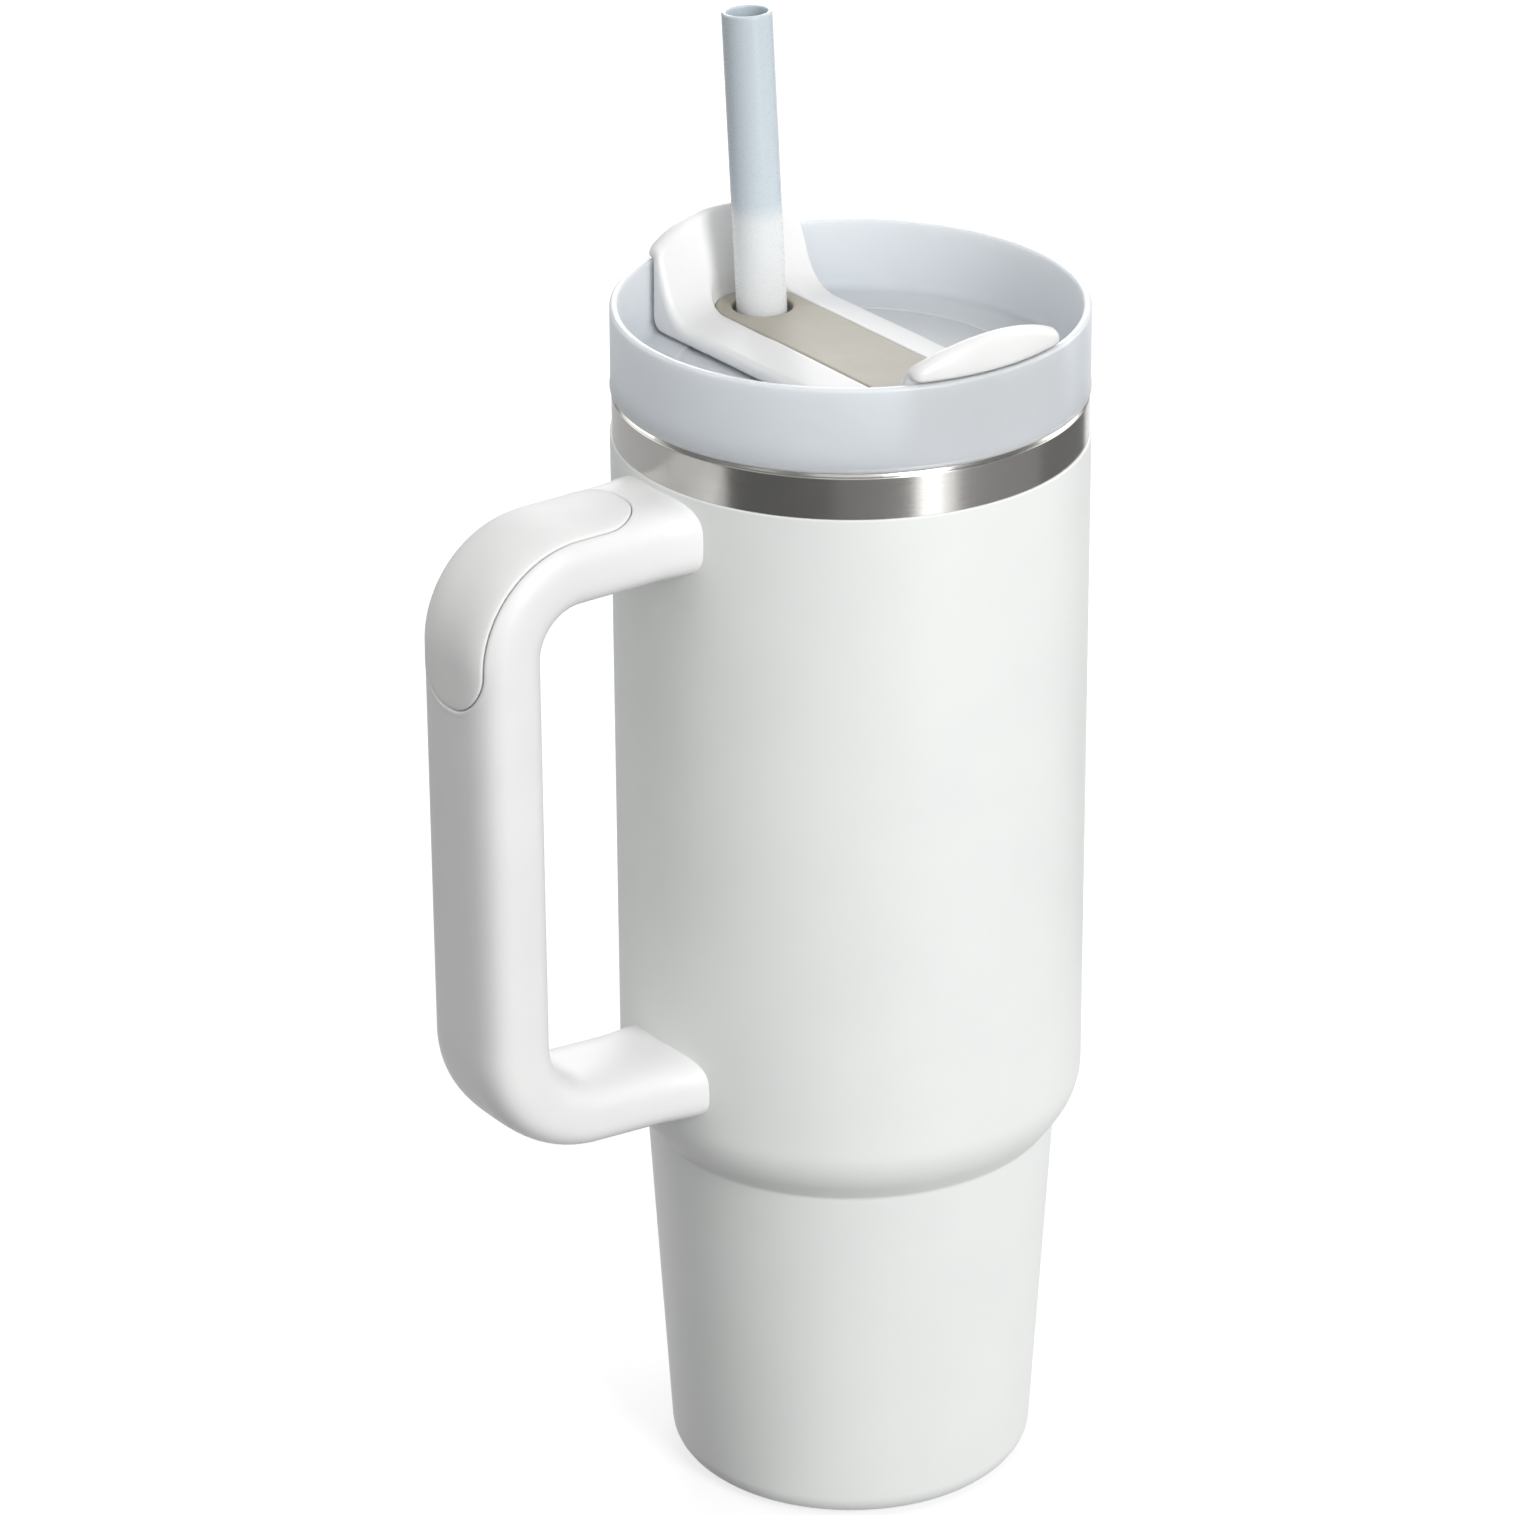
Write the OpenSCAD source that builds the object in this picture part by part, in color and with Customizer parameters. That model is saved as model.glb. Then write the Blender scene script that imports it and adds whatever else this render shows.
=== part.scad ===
// Insulated tumbler with a screw-on lid, a rotating cover, a straw and a side handle.
// Millimetres. Origin: centre of the base, on the ground. +Z up, the handle towards +X,
// the straw end of the lid towards -Y.

/* [Vessel] */
// Radius of the coated body above the step
body_r = 49.3; // [49.2:0.1:49.6]
// Radius of the bare steel band under the lid
band_r = 48.9; // [48.8:0.1:49.0]
// Height of the vessel's lip above the ground
lip_z = 247; // [246:0.5:249]
// Height of the bare band
band_h = 9.7; // [6:0.1:12]
// Height where the body starts to curve in towards the cup-holder base
step_z = 93.7; // [92:0.1:95]
// Radius of the shoulder where the body curves in
shoulder_r = 15; // [12:0.5:17]
// Lean of the step below the shoulder, in degrees
step_lean = 37; // [34:1:40]
// How far the step comes in
step_in = 5.6; // [5:0.1:7]
// Radius of the tapered base where the base fillet starts
base_r = 38.9; // [37:0.1:40]
// Radius of the fillet at the foot
foot_fillet = 5.5; // [4:0.5:7]
// Thickness of the steel sheet
sheet_t = 0.8; // [0.6:0.1:0.9]
// Distance from the outside of the shell to the inside of the liner
wall_t = 4.0; // [4:0.1:4.2]
// Height of the drinking side of the liner's floor
floor_z = 9.6; // [9:0.1:12]

/* [Lid] */
// Outer radius of the lid
lid_r = 49.0; // [48.8:0.1:49.2]
// Height of the lid's rim above the ground
rim_z = 265; // [263:0.5:268]
// Height of the top of the lid's deck
deck_z = 249.8; // [249.8:0.1:250]
// Thickness of the lid's wall
lid_wall = 1.8; // [1.5:0.1:2]
// Outer radius of the threaded skirt
skirt_r = 44.0; // [43.9:0.1:44.1]
// Length of the threaded skirt below the lip
skirt_len = 18; // [17:0.5:20]
// Pitch of the lid thread
pitch = 5; // [4:0.5:5]
// Number of turns in each thread
turns = 1.25; // [1:0.125:1.25]

/* [Rotating cover] */
// Half width of the cover bar and its ears
bar_half = 19.2; // [18.6:0.1:20]
// Height of the top of the insert above the ground
insert_z = 254.5; // [254.3:0.1:255.5]
// Half width of the insert
insert_half = 9.4; // [9:0.1:10]
// Height of the ears above the lid's rim
ear_rise = 7.5; // [6:0.5:9]
// Lean of the ears' inner faces towards the rim
ear_lean = 21; // [18:1:22]
// Radius of the pivot pin
pin_r = 3; // [2.5:0.1:3.2]

/* [Straw] */
// Outer radius of the straw
straw_r = 5.25; // [5:0.05:5.4]
// Wall of the straw
straw_wall = 1; // [0.8:0.1:1.2]
// Lean of the straw towards the rim
straw_lean = 4.15; // [3.65:0.25:4.9]
// Height of the straw's tip above the ground
straw_top = 317; // [300:1:330]
// Distance of the straw's axis from the lid's centre, at the insert
straw_y = 31; // [30.6:0.1:31.2]

/* [Handle] */
// Reach of the handle's outer face from the tumbler's axis
handle_reach = 99.5; // [98:0.5:104]
// Width of the handle
handle_w = 26; // [24:0.5:28]
// Thickness of the handle
handle_t = 16.6; // [16:0.1:18]
// Rounding of the handle's edges
handle_round = 7; // [6:0.5:8]
// Height of the middle of the upper leg
upper_z = 227.8; // [227:0.1:228]
// Height of the middle of the lower leg where it meets the body
lower_z = 103.3; // [103:0.1:104]
// Rise of the lower leg away from the body, in degrees
lower_rise = 4; // [3:0.5:5]
// Half width of the grip pad
grip_half = 10.3; // [9:0.1:11]

/* [Hidden] */
$fn = 96;
eps = 0.01;

band_z = lip_z - band_h;
neck_r = body_r - step_in;
neck_fillet = 2;
step_run = (step_in - (shoulder_r + neck_fillet) * (1 - cos(step_lean))) / sin(step_lean);
neck_z = step_z - (shoulder_r + neck_fillet) * sin(step_lean) - step_run * cos(step_lean);
taper_lean = atan((neck_r - base_r) / neck_z);
seam_gap = 0.2;
fold_t = 0.8;
lid_under = lip_z + seam_gap;
deck_under = deck_z - 2.4;
skirt_in = skirt_r - 2.8;
skirt_end = lip_z - skirt_len;
liner_in_r = body_r - wall_t;
thread_tall = 0.9;
thread_root = 0.4;
thread_root_w = 2.6;
thread_crest_w = 1.3;
thread_start = skirt_end + 2;
groove_z = [lip_z - 5.3, lip_z - 2.7];
groove_r = skirt_r - 1.1;
seal_gap = 0.2;
hub_r = 7;
hub_drop = 4;
o_ring_r = 4.2;
o_ring_half = 0.9;
bar_under = deck_z + 0.4;
seal_top = bar_under + 1.1;
seal_half = 17;
seal_r = 40;
seal_open_r = 8;
seal_hole_r = 5.8;
insert_t = 2;
pocket_z = insert_z - insert_t;
insert_back = straw_y + 0.2;
insert_front_r = 37.2;
cover_r = lid_r - lid_wall - 0.6;
lap_r = lid_r - 0.6;
lap_z = rim_z + 0.3;
ear_top = rim_z + ear_rise;
ear_foot_y = 37.5;
ear_fillet = 5;
ear_crown = 38;
niche_lean = 14;
niche_from = 2.5;
niche_h = 30;
niche_reach = 20;
straw_hole_r = 6.3;
straw_hole_y = 0.3 - straw_y;
pin_head_r = 5.5;
pin_head_t = 1.2;
pin_head_z = pocket_z - pin_head_t - 0.1;
pin_end_z = deck_under - hub_drop - 2.2;
retainer_r = 6;
retainer_z = deck_under - hub_drop - 0.2;
retainer_t = 1.2;
slot_r = straw_y - (insert_z - deck_z + 1.2) * tan(straw_lean);
slot_half = 7;
slot_turn = 20;
straw_bottom_z = floor_z + 5.4;
straw_len = (straw_top - straw_bottom_z) / cos(straw_lean);
bead_r = 6.6;
bead_z = 25;
bar_x = handle_reach - handle_t / 2;
upper_corner_r = 25;
lower_corner_r = 28;
upper_bend = upper_corner_r - handle_t / 2;
lower_bend = lower_corner_r - handle_t / 2;
leg_from = 47;
lower_run = 26;
bend_z1 = upper_z - upper_bend;
bend_x1 = bar_x - upper_bend;
bend_x2 = bar_x - lower_bend;
bend_z2 = round(lower_z + (bend_x2 - body_r) * tan(lower_rise) + lower_bend / cos(lower_rise));
lower_tongue_z = lower_z + 0.7;
upper_screw_x = 66;
lower_screw_x = 62;
upper_screw_len = 9;
lower_screw_len = 8.5;
head_seat = 4;
fit = 0.1;
tongue_end = 74;
tongue_half = 6;
tongue_t = 3;
plate_t = 1.1;
plate_half_angle = 12;
plate_half_h = 5.5;
head_r = 3.4;
head_t = 2.1;
socket_r = 1.4;
socket_deep = 1.2;
plug_r = head_r + 0.5;
plug_t = 1.4;
shank_r = 1.75;
hole_r = 2;
grip_t = 1.6;
grip_end_x = 57;
grip_end_z = 201;
grip_gap = 0.3;
foot_ring_r = 29;
getter_x = 16;
getter_r = 5;
liner_t = 0.7;
liner_under = floor_z - liner_t;
floor_r = 32.6;
corner_top = 40;
port_r = 1;
port_z = 3;
port_plug_r = 2.4;
port_plug_t = 0.6;

steel = [0.74, 0.75, 0.76];
coat = [0.95, 0.95, 0.94];
white = [0.96, 0.96, 0.95];
frost = [0.80, 0.84, 0.87];
taupe = [0.74, 0.70, 0.65];
soft_white = [0.90, 0.90, 0.89];

// ---- shared shapes ----

// Wall line of the vessel at a given inset from its outside, from the foot to height top.
function wall_line(inset, top) = concat(
    [for (a = [-90 : 9 : -taper_lean])
        [foot_c()[0] + (foot_fillet - inset) * cos(a), foot_c()[1] + (foot_fillet - inset) * sin(a)]],
    [for (a = [0 : step_lean / 4 : step_lean])
        [neck_r + neck_fillet - (neck_fillet + inset) * cos(a), neck_z + (neck_fillet + inset) * sin(a)]],
    [for (a = [step_lean : -step_lean / 6 : 0])
        [body_r - shoulder_r + (shoulder_r - inset) * cos(a), step_z - (shoulder_r - inset) * sin(a)]],
    [[body_r - inset, top]]);

// Centre of the foot's fillet: it touches the ground and the tapered wall.
function foot_c() = [base_r - foot_fillet / cos(taper_lean) + foot_fillet * tan(taper_lean), foot_fillet];

function reversed(list) = [for (i = [len(list) - 1 : -1 : 0]) list[i]];

module ring(r_in, r_out, z0, z1) {
    translate([0, 0, z0]) difference() {
        cylinder(r = r_out, h = z1 - z0);
        translate([0, 0, -eps]) cylinder(r = r_in, h = z1 - z0 + 2 * eps);
    }
}

// Helical ridge with a trapezoid section, fading in and out at its ends.
// root and crest are radii.
module thread_ridge(root, crest, z0) {
    steps = 48;
    fade = 8;
    n = round(steps * turns);
    buried = root < crest ? root - thread_root : root + thread_root;
    points = [for (i = [0 : n])
        let (a = 360 * i / steps,
            z = z0 + pitch * i / steps,
            k = min(1, i / fade, (n - i) / fade),
            tip = root + (crest - root) * max(k, 0.02))
        for (p = [[buried, -thread_root_w / 2], [tip, -thread_crest_w / 2],
                [tip, thread_crest_w / 2], [buried, thread_root_w / 2]])
            [p[0] * cos(a), p[0] * sin(a), z + p[1]]];
    sides = root > crest
        ? [for (i = [0 : n - 1], j = [0 : 3])
            [4 * i + j, 4 * i + 4 + j, 4 * i + 4 + (j + 1) % 4, 4 * i + (j + 1) % 4]]
        : [for (i = [0 : n - 1], j = [0 : 3])
            [4 * i + (j + 1) % 4, 4 * i + 4 + (j + 1) % 4, 4 * i + 4 + j, 4 * i + j]];
    caps = root > crest
        ? [[0, 1, 2, 3], [4 * n + 3, 4 * n + 2, 4 * n + 1, 4 * n]]
        : [[3, 2, 1, 0], [4 * n, 4 * n + 1, 4 * n + 2, 4 * n + 3]];
    polyhedron(points, concat(sides, caps), convexity = 6);
}

// Rounded rectangle, t along x and w along y, as exact arcs.
module rounded_section(t, w, r) {
    square([t - 2 * r, w], center = true);
    square([t, w - 2 * r], center = true);
    for (sx = [-1, 1], sy = [-1, 1])
        translate([sx * (t / 2 - r), sy * (w / 2 - r)]) circle(r = r);
}

// Moves a shape onto the straw's leaning axis: z runs along the straw, 0 at its lower end.
module on_straw_axis() {
    translate([0, -straw_y, insert_z]) rotate([straw_lean, 0, 0])
        translate([0, 0, -(insert_z - straw_bottom_z) / cos(straw_lean)]) children();
}

// ---- vessel ----

// Pressed steel shell: bare band, coated body, step, tapered base and rolled foot.
module outer_shell() {
    color(coat) rotate_extrude() polygon(concat(
        [[foot_ring_r, 0]],
        wall_line(0, band_z),
        [[band_r, band_z], [band_r, lip_z - fold_t], [band_r - sheet_t, lip_z - fold_t]],
        reversed(wall_line(sheet_t, band_z)),
        [[foot_ring_r, sheet_t]]));
}

// Drinking vessel, folded over the shell's edge at the lip, with the rolled thread.
module inner_liner() {
    out = wall_t - liner_t;
    fold = lip_z - fold_t;
    color(steel) {
        rotate_extrude() polygon(concat(
            [[0, liner_under], [floor_r + 0.4, liner_under], [floor_r + 2.6, floor_z + 1.2]],
            [for (p = wall_line(out, fold)) if (p[1] > corner_top) p],
            [[band_r - 0.2, fold], [band_r, fold + 0.3], [band_r - 0.3, lip_z]],
            [[liner_in_r + 0.5, lip_z], [liner_in_r, lip_z - 0.5]],
            reversed([for (p = wall_line(wall_t, lip_z - 1)) if (p[1] > corner_top) p]),
            [[floor_r + 2, floor_z + 1.8], [floor_r, floor_z], [0, floor_z]]));
        thread_ridge(liner_in_r, liner_in_r - thread_tall, thread_start);
    }
}

// Bulkhead that closes the vacuum space, with a dimple round the evacuation port.
module shell_bottom() {
    color(steel) difference() {
        rotate_extrude() polygon([
            [0, port_z], [4, port_z], [6, 4.2], [25, 4.2], [27, sheet_t], [32.6, sheet_t],
            [32.6, 2 * sheet_t], [27.6, 2 * sheet_t], [25.6, 5], [5.6, 5], [3.6, 3.8], [0, 3.8]]);
        translate([0, 0, port_z - port_r]) cylinder(r = port_r, h = port_z);
    }
}

// Plug of glass solder that closes the evacuation port.
module port_seal() {
    color("dimgray") {
        translate([0, 0, port_z - port_plug_t]) cylinder(r = port_plug_r, h = port_plug_t);
        translate([0, 0, port_z - eps]) cylinder(r = port_r, h = 1);
    }
}

// Getter pill that keeps the vacuum, in its clip under the liner's floor.
module getter() {
    color("gray") translate([getter_x, 0, liner_under - 2.3]) cylinder(r = getter_r, h = 1.9);
}

module getter_clip() {
    color(steel) translate([getter_x, 0, 0]) rotate_extrude() polygon([
        [getter_r - 1, liner_under - 2.7], [getter_r + 0.4, liner_under - 2.7],
        [getter_r + 0.4, liner_under - 0.4], [getter_r + 2.5, liner_under - 0.4],
        [getter_r + 2.5, liner_under], [getter_r, liner_under],
        [getter_r, liner_under - 2.3], [getter_r - 1, liner_under - 2.3]]);
}

// Disc that hides the port, set back from the rest ring.
module base_cover() {
    color(steel) rotate_extrude() polygon([
        [0, 0.9], [20, 0.9], [21, 0.3], [28.4, 0.3], [28.7, 0.5], [28.7, sheet_t],
        [22, sheet_t], [21.2, 1.4], [0, 1.4]]);
}

// ---- handle ----

// Curved plate welded to the shell, with a tongue that the handle's leg slides over.
module bracket(z, screw_x) {
    difference() {
        union() {
            rotate([0, 0, -plate_half_angle]) rotate_extrude(angle = 2 * plate_half_angle)
                translate([body_r, z - plate_half_h]) square([plate_t, 2 * plate_half_h]);
            translate([body_r + plate_t / 2, -tongue_half, z - tongue_t / 2])
                cube([tongue_end - body_r - plate_t / 2, 2 * tongue_half, tongue_t]);
        }
        translate([screw_x, 0, z - tongue_t]) cylinder(r = hole_r, h = 2 * tongue_t);
    }
}

module upper_handle_bracket() {
    color(steel) bracket(upper_z, upper_screw_x);
}

module lower_handle_bracket() {
    color(steel) bracket(lower_tongue_z, lower_screw_x);
}

// Sweeps a section (2D child: x towards the outside of the loop, y across the handle)
// along the upper leg, the upper bend and the bar.
module sweep_upper(leg_from, bar_from) {
    translate([bend_x1, 0, bend_z1]) rotate([90, 0, 0]) {
        rotate_extrude(angle = 90) translate([upper_bend, 0]) children();
        translate([upper_bend, 0, 0]) rotate([90, 0, 0])
            linear_extrude(bend_z1 - bar_from) children();
        rotate([0, 0, 90]) translate([upper_bend, 0, 0]) rotate([-90, 0, 0])
            linear_extrude(bend_x1 - leg_from) children();
    }
}

// The same along the lower bend and the lower leg.
module sweep_lower(run) {
    turn = 90 - lower_rise;
    translate([bend_x2, 0, bend_z2]) rotate([90, 0, 0]) rotate([0, 0, -turn]) {
        rotate_extrude(angle = turn) translate([lower_bend, 0]) children();
        translate([lower_bend, 0, 0]) rotate([90, 0, 0]) linear_extrude(run) children();
    }
}

// Long pill that bounds the grip pad, from the upper leg round the bend and down the bar.
module grip_bounds(grow) {
    half = grip_half + grow;
    leg = grip_end_x + grip_half;
    low = grip_end_z + grip_half;
    translate([leg, -half, low]) cube([handle_reach, 2 * half, handle_reach]);
    translate([leg, 0, upper_z]) cylinder(r = half, h = handle_t);
    translate([bar_x, 0, low]) rotate([0, 90, 0]) cylinder(r = half, h = handle_t);
}

module grip_layer(depth, grow) {
    intersection() {
        sweep_upper(grip_end_x - 1, grip_end_z - 1) intersection() {
            difference() {
                rounded_section(handle_t, handle_w, handle_round);
                rounded_section(handle_t - 2 * depth, handle_w - 2 * depth, handle_round - depth);
            }
            translate([0, -handle_w / 2]) square([handle_t, handle_w]);
        }
        grip_bounds(grow);
    }
}

// Moulded loop handle; its legs take the brackets and the screws.
module handle_body() {
    color(white) difference() {
        union() {
            sweep_upper(leg_from, bend_z2) rounded_section(handle_t, handle_w, handle_round);
            sweep_lower(lower_run) rounded_section(handle_t, handle_w, handle_round);
        }
        translate([0, 0, neck_z]) cylinder(r = body_r + fit / 2, h = lip_z - neck_z);
        for (z = [upper_z, lower_tongue_z]) {
            rotate([0, 0, -plate_half_angle - 2 * fit]) rotate_extrude(angle = 2 * plate_half_angle + 4 * fit)
                translate([body_r - 1, z - plate_half_h - fit])
                    square([plate_t + 1 + fit, 2 * (plate_half_h + fit)]);
            translate([body_r, -tongue_half - fit, z - tongue_t / 2 - fit])
                cube([tongue_end - body_r + 3 * fit, 2 * (tongue_half + fit), tongue_t + 2 * fit]);
        }
        grip_layer(grip_t + fit / 2, grip_gap);
        translate([upper_screw_x, 0, upper_z + head_seat]) cylinder(r = head_r + 2 * fit, h = handle_t);
        translate([upper_screw_x, 0, upper_z]) cylinder(r = hole_r, h = handle_t);
        translate([upper_screw_x, 0, upper_z + head_seat - upper_screw_len - fit * 5])
            cylinder(r = shank_r, h = upper_screw_len);
        translate([lower_screw_x, 0, lower_tongue_z - head_seat - handle_t])
            cylinder(r = plug_r, h = handle_t);
        translate([lower_screw_x, 0, lower_tongue_z - handle_t]) cylinder(r = hole_r, h = handle_t);
        translate([lower_screw_x, 0, lower_tongue_z - 1]) cylinder(r = shank_r, h = 6);
    }
}

// Soft pad let into the handle.
module handle_grip() {
    color(soft_white) grip_layer(grip_t, 0);
}

// Screw with a flat head at z = 0 and its shank downwards.
module screw(length) {
    difference() {
        cylinder(r = head_r, h = head_t);
        translate([0, 0, head_t - socket_deep]) cylinder(r = socket_r, h = head_t, $fn = 6);
    }
    translate([0, 0, -length]) cylinder(r = shank_r, h = length + eps);
}

module upper_handle_screw() {
    color("silver") translate([upper_screw_x, 0, upper_z + head_seat]) screw(upper_screw_len);
}

module lower_handle_screw() {
    color("silver") translate([lower_screw_x, 0, lower_tongue_z - head_seat]) rotate([180, 0, 0])
        screw(lower_screw_len);
}

module lower_screw_plug() {
    plug_top = lower_tongue_z - head_seat - head_t - fit;
    color(white) translate([lower_screw_x, 0, plug_top - plug_t]) cylinder(r = plug_r, h = plug_t);
}

// ---- lid ----

// Curved slot of the sip opening, centred on the straw.
module sip_slot(z0, z1) {
    translate([0, 0, z0]) {
        rotate([0, 0, -90 - slot_turn]) rotate_extrude(angle = 2 * slot_turn)
            translate([slot_r - slot_half, 0]) square([2 * slot_half, z1 - z0]);
        for (side = [-1, 1]) rotate([0, 0, -90 + side * slot_turn])
            translate([slot_r, 0, 0]) cylinder(r = slot_half, h = z1 - z0);
    }
}

// Cup-shaped lid: wall, deck with the sip opening, hub bore and threaded skirt.
module lid_body() {
    well_r = lid_r - lid_wall;
    color(frost, 0.8) {
        difference() {
            rotate_extrude() polygon([
                [0, deck_under - hub_drop], [hub_r, deck_under - hub_drop], [hub_r + 0.6, deck_under - 0.5],
                [hub_r + 1.2, deck_under], [skirt_in - 1, deck_under], [skirt_in, deck_under - 1],
                [skirt_in, skirt_end + 0.5], [skirt_in + 0.5, skirt_end],
                [skirt_r - 0.8, skirt_end], [skirt_r, skirt_end + 0.8],
                [skirt_r, groove_z[0]], [groove_r, groove_z[0]],
                [groove_r, groove_z[1]], [skirt_r, groove_z[1]],
                [skirt_r, lid_under], [lid_r, lid_under], [lid_r + 0.25, lid_under + 0.3],
                [lid_r + 0.25, lid_under + 0.8], [lid_r, lid_under + 1.1],
                [lid_r, rim_z - 0.6], [lid_r - 0.3, rim_z - 0.15], [lid_r - 0.8, rim_z],
                [well_r + 0.6, rim_z], [well_r + 0.1, rim_z - 0.3],
                [well_r - 0.2, deck_z + 2], [well_r - 0.8, deck_z + 0.7], [well_r - 2, deck_z + 0.1],
                [36, deck_z], [35.8, deck_z - 0.3], [0, deck_z - 0.3]]);
            sip_slot(deck_under - 1, deck_z + 1);
            translate([0, 0, deck_under - 2 * hub_drop]) cylinder(r = pin_r + fit / 2, h = 4 * hub_drop);
            translate([0, 0, deck_z - 2 * o_ring_half - fit])
                cylinder(r = o_ring_r + o_ring_half + fit, h = 3);
        }
        thread_ridge(skirt_r, skirt_r + thread_tall, thread_start + pitch / 2);
    }
}

// Silicone ring in the skirt's groove, with two wiper lips.
module lid_gasket() {
    z0 = groove_z[0] + seal_gap;
    z1 = groove_z[1] - seal_gap;
    back = groove_r + 0.15;
    lip = liner_in_r - seal_gap;
    color("gainsboro") rotate_extrude() polygon([
        [back, z0], [lip, z0], [lip, z0 + 0.5], [skirt_r + 0.1, z0 + 0.8],
        [skirt_r + 0.1, z1 - 0.8], [lip, z1 - 0.5], [lip, z1], [back, z1]]);
}

module pivot_o_ring() {
    color("dimgray") translate([0, 0, deck_z - o_ring_half]) rotate_extrude()
        translate([o_ring_r, 0]) circle(r = o_ring_half);
}

// ---- rotating cover ----

// Bar across the well, with a crowned top.
module cover_bar() {
    side_top = bar_under + 1.8;
    rotate([90, 0, 0]) linear_extrude(2 * lid_r, center = true) polygon([
        [-bar_half, bar_under], [bar_half, bar_under], [bar_half, side_top],
        [bar_half - 0.9, side_top + 0.6], [insert_half, insert_z],
        [-insert_half, insert_z], [-bar_half + 0.9, side_top + 0.6], [-bar_half, side_top]]);
}

// Block at the straw end of the bar; its inner face leans towards the rim.
module ear() {
    face = ear_foot_y + (ear_top - insert_z) * tan(ear_lean);
    foot = insert_z - 2.2 + ear_fillet;
    toe = ear_foot_y + (foot - insert_z) * tan(ear_lean) - ear_fillet;
    intersection() {
        rotate([90, 0, -90]) linear_extrude(2 * bar_half, center = true) polygon(concat(
            [[toe, bar_under]],
            [for (a = [0 : 15 : 75]) [toe + ear_fillet * sin(a), foot - ear_fillet * cos(a)]],
            [[face, ear_top], [lid_r, ear_top], [lid_r, bar_under]]));
        translate([0, 0, ear_top - ear_crown]) rotate([90, 0, 0]) cylinder(r = ear_crown, h = lid_r);
    }
}

// Round space that the bar and ears keep inside: the well, and the lap over the rim.
module cover_envelope() {
    rotate_extrude() polygon([
        [0, bar_under], [cover_r - 1.8, bar_under], [cover_r - 0.3, bar_under + 1.8],
        [cover_r, bar_under + 3], [cover_r, lap_z], [lap_r - 0.3, lap_z], [lap_r, lap_z + 0.5],
        [lap_r - 0.4, lap_z + 3], [lap_r - 1.2, ear_top - 1], [lap_r - 2, ear_top], [0, ear_top]]);
}

// Outline of the insert, as deep as asked.
module insert_shape(half, z0, z1) {
    intersection() {
        translate([0, 0, z0]) {
            translate([0, -insert_back, 0]) cylinder(r = half, h = z1 - z0);
            translate([-half, -insert_back, 0]) cube([2 * half, insert_back + lid_r, z1 - z0]);
        }
        union() {
            cylinder(r = insert_front_r + half - insert_half, h = 2 * insert_z);
            translate([-lid_r, -2 * lid_r, 0]) cube([2 * lid_r, 2 * lid_r, 2 * insert_z]);
        }
    }
}

module straw_hole(z0, z1) {
    translate([0, straw_hole_y, z0]) cylinder(r = straw_hole_r, h = z1 - z0);
}

module rotating_cover() {
    color(white) difference() {
        intersection() {
            union() {
                cover_bar();
                ear();
                rotate([0, 0, 180]) ear();
            }
            cover_envelope();
        }
        insert_shape(insert_half + 0.05, pocket_z, insert_z + 3);
        translate([0, -insert_back, insert_z]) rotate([niche_lean, 0, 0])
            translate([0, 0, niche_from]) linear_extrude(niche_h) {
                circle(r = insert_half);
                translate([-insert_half, 0]) square([2 * insert_half, niche_reach]);
            }
        straw_hole(bar_under - 1, pocket_z + 1);
        seal_outline(fit, bar_under - 1, seal_top);
        translate([0, 0, bar_under - 1]) cylinder(r = pin_r, h = insert_z - bar_under);
        translate([0, 0, pin_head_z]) cylinder(r = pin_head_r + 2 * fit, h = insert_t + pin_head_t);
    }
}

// Strip that clips into the bar, with the straw's hole.
module cover_insert() {
    color(taupe) difference() {
        insert_shape(insert_half, pocket_z, insert_z);
        straw_hole(pocket_z - 1, insert_z + 1);
    }
}

// Outline of the seal: a pad across the bar, open at the pivot.
module seal_outline(grow, z0, z1) {
    difference() {
        intersection() {
            translate([-seal_half - grow, -lid_r, z0]) cube([2 * (seal_half + grow), 2 * lid_r, z1 - z0]);
            translate([0, 0, z0]) cylinder(r = seal_r + grow, h = z1 - z0);
        }
        translate([0, 0, z0 - 1]) cylinder(r = seal_open_r - grow, h = z1 - z0 + 2);
    }
}

// Silicone pad that closes the sip opening from above.
module cover_seal() {
    color("gainsboro") difference() {
        seal_outline(0, deck_z + 0.2, seal_top);
        translate([0, straw_hole_y + 0.3, deck_z - 1]) cylinder(r = seal_hole_r, h = seal_top - deck_z + 2);
    }
}

// Pin on which the cover turns; its head lies under the insert.
module pivot_pin() {
    color("silver") {
        translate([0, 0, pin_head_z]) cylinder(r = pin_head_r, h = pin_head_t);
        translate([0, 0, pin_end_z]) cylinder(r = pin_r, h = pin_head_z + fit - pin_end_z);
    }
}

// Push-on washer that holds the pin under the hub.
module pivot_retainer() {
    color("silver") ring(pin_r, retainer_r, retainer_z - retainer_t, retainer_z);
}

// ---- straw ----

module straw() {
    color([0.86, 0.88, 0.90], 0.8) on_straw_axis() difference() {
        union() {
            cylinder(r = straw_r, h = straw_len);
            translate([0, 0, bead_z - 1]) cylinder(r1 = straw_r, r2 = bead_r, h = 1);
            translate([0, 0, bead_z]) cylinder(r = bead_r, h = 1.5);
            translate([0, 0, bead_z + 1.5]) cylinder(r1 = bead_r, r2 = straw_r, h = 1);
        }
        translate([0, 0, -1]) cylinder(r = straw_r - straw_wall, h = straw_len + 2);
    }
}

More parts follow.
